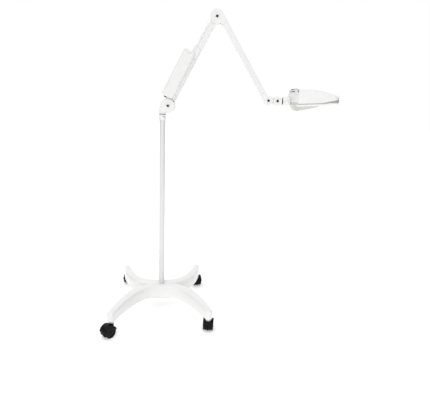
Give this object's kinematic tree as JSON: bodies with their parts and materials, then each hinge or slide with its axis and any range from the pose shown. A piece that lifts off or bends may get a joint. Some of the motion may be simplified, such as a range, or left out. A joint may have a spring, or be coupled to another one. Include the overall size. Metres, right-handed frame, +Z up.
{
  "type": "magnifying lamp",
  "caption": "Floor-standing magnifying lamp: jointed friction arm with a ballast box and a lidded lens head, on a pole with a curved four-caster rolling base.",
  "frame": {"origin": "the pole's axis at floor level", "axes": "+Z up along the pole, +X the way the arm reaches, +Y to the left of it; the base is turned 7 degrees about +Z"},
  "size_m": [0.9591, 0.5737, 1.3355],
  "materials": {
    "white_paint": "gloss",
    "steel": "satin",
    "pole_finish": "satin",
    "tube_finish": "satin",
    "white_cast": "satin",
    "white_plastic": "satin",
    "black_plastic": "matt",
    "black_steel": "satin",
    "tyre_plastic": "matt",
    "gland_rubber": "matt",
    "clear_glass": "polished",
    "lamp_glass": "satin",
    "diffuser_plastic": "matt",
    "reflector_metal": "bright",
    "ballast_steel": "as laminated"
  },
  "bodies": {
    "base": {"front_arch": "white_paint", "rear_arch": "white_paint", "hub_core": "steel", "hub_screws": "steel", "pole": "pole_finish", "pole_sleeve": "pole_finish", "pole_set_screw": "black_steel", "caster_sockets": "steel"},
    "caster_fl": {"caster_stem_fl": "steel", "caster_hood_fl": "black_plastic", "caster_axle_fl": "steel"},
    "wheel_fl_a": {"caster_wheel_fl_a": "tyre_plastic"},
    "wheel_fl_b": {"caster_wheel_fl_b": "tyre_plastic"},
    "caster_fr": {"caster_stem_fr": "steel", "caster_hood_fr": "black_plastic", "caster_axle_fr": "steel"},
    "wheel_fr_a": {"caster_wheel_fr_a": "tyre_plastic"},
    "wheel_fr_b": {"caster_wheel_fr_b": "tyre_plastic"},
    "caster_rl": {"caster_stem_rl": "steel", "caster_hood_rl": "black_plastic", "caster_axle_rl": "steel"},
    "wheel_rl_a": {"caster_wheel_rl_a": "tyre_plastic"},
    "wheel_rl_b": {"caster_wheel_rl_b": "tyre_plastic"},
    "caster_rr": {"caster_stem_rr": "steel", "caster_hood_rr": "black_plastic", "caster_axle_rr": "steel"},
    "wheel_rr_a": {"caster_wheel_rr_a": "tyre_plastic"},
    "wheel_rr_b": {"caster_wheel_rr_b": "tyre_plastic"},
    "swivel": {"swivel_bracket": "white_cast", "shoulder_bolt": "steel"},
    "lower_arm": {"lower_end": "white_cast", "lower_tube": "tube_finish", "cable_cover": "white_plastic", "upper_end": "white_cast", "saddle": "white_cast", "ballast_case": "white_plastic", "ballast_cap": "white_plastic", "ballast_core": "ballast_steel", "saddle_screws": "white_cast", "cable_gland": "gland_rubber"},
    "forearm": {"elbow_fork": "white_cast", "fore_tube": "tube_finish", "wrist_fork": "white_cast", "elbow_bolt": "steel", "wrist_bolt": "steel"},
    "link": {"wrist_link": "white_cast"},
    "knuckle": {"tilt_knuckle": "white_cast", "tilt_bolt": "steel"},
    "head": {"head_neck": "white_plastic", "head_frame": "white_plastic", "lamp_housing": "white_plastic", "lens": "clear_glass", "lens_ring": "black_plastic", "reflectors": "reflector_metal", "lamp_tubes": "lamp_glass", "diffusers": "diffuser_plastic", "hinge_pin": "black_steel"},
    "rocker": {"power_rocker": "black_plastic"},
    "lid": {"head_lid": "white_plastic"}
  },
  "joints": [
    {"name": "swivel_fl", "type": "hinge", "parent": "base", "child": "caster_fl", "pos_m": [-0.17755, -0.25252, 0.06], "axis": [0, 0, 1], "continuous": true},
    {"name": "roll_fl_a", "type": "hinge", "parent": "caster_fl", "child": "wheel_fl_a", "pos_m": [-0.18761, -0.26744, 0.025], "axis": [0.829, -0.5592, 0], "continuous": true},
    {"name": "roll_fl_b", "type": "hinge", "parent": "caster_fl", "child": "wheel_fl_b", "pos_m": [-0.18761, -0.26744, 0.025], "axis": [0.829, -0.5592, 0], "continuous": true},
    {"name": "swivel_fr", "type": "hinge", "parent": "base", "child": "caster_fr", "pos_m": [0.23337, -0.20207, 0.06], "axis": [0, 0, 1], "continuous": true},
    {"name": "roll_fr_a", "type": "hinge", "parent": "caster_fr", "child": "wheel_fr_a", "pos_m": [0.23399, -0.18408, 0.025], "axis": [-0.9994, 0.0349, 0], "continuous": true},
    {"name": "roll_fr_b", "type": "hinge", "parent": "caster_fr", "child": "wheel_fr_b", "pos_m": [0.23399, -0.18408, 0.025], "axis": [-0.9994, 0.0349, 0], "continuous": true},
    {"name": "swivel_rl", "type": "hinge", "parent": "base", "child": "caster_rl", "pos_m": [-0.20954, 0.20499, 0.06], "axis": [0, 0, 1], "continuous": true},
    {"name": "roll_rl_a", "type": "hinge", "parent": "caster_rl", "child": "wheel_rl_a", "pos_m": [-0.20766, 0.22289, 0.025], "axis": [-0.9945, 0.1045, 0], "continuous": true},
    {"name": "roll_rl_b", "type": "hinge", "parent": "caster_rl", "child": "wheel_rl_b", "pos_m": [-0.20766, 0.22289, 0.025], "axis": [-0.9945, 0.1045, 0], "continuous": true},
    {"name": "swivel_rr", "type": "hinge", "parent": "base", "child": "caster_rr", "pos_m": [0.15373, 0.2496, 0.06], "axis": [0, 0, 1], "continuous": true},
    {"name": "roll_rr_a", "type": "hinge", "parent": "caster_rr", "child": "wheel_rr_a", "pos_m": [0.15839, 0.23221, 0.025], "axis": [0.9659, 0.2588, 0], "continuous": true},
    {"name": "roll_rr_b", "type": "hinge", "parent": "caster_rr", "child": "wheel_rr_b", "pos_m": [0.15839, 0.23221, 0.025], "axis": [0.9659, 0.2588, 0], "continuous": true},
    {"name": "pole_swivel", "type": "hinge", "parent": "base", "child": "swivel", "pos_m": [0, 0, 0.918], "axis": [0, 0, 1], "continuous": true},
    {"name": "shoulder", "type": "hinge", "parent": "swivel", "child": "lower_arm", "pos_m": [0.024, 0, 0.953], "axis": [0, -1, 0], "range_deg": [-40, 28]},
    {"name": "elbow", "type": "hinge", "parent": "lower_arm", "child": "forearm", "pos_m": [0.21677, 0, 1.30804], "axis": [0, -1, 0], "range_deg": [-14, 80]},
    {"name": "wrist", "type": "hinge", "parent": "forearm", "child": "link", "pos_m": [0.4466, 0, 0.99172], "axis": [0, -1, 0], "range_deg": [-45, 35]},
    {"name": "head_tilt", "type": "hinge", "parent": "link", "child": "knuckle", "pos_m": [0.4846, 0, 0.99172], "axis": [0, -1, 0], "range_deg": [-40, 35]},
    {"name": "head_roll", "type": "hinge", "parent": "knuckle", "child": "head", "pos_m": [0.5056, 0, 0.99172], "axis": [1, 0, 0], "range_deg": [-90, 90]},
    {"name": "lid_hinge", "type": "hinge", "parent": "head", "child": "lid", "pos_m": [0.5496, 0, 1.03672], "axis": [0, -1, 0], "range_deg": [0, 105]},
    {"name": "power_switch", "type": "hinge", "parent": "head", "child": "rocker", "pos_m": [0.5456, 0.05, 0.99272], "axis": [0, 1, 0], "range_deg": [0, 14]}
  ]
}
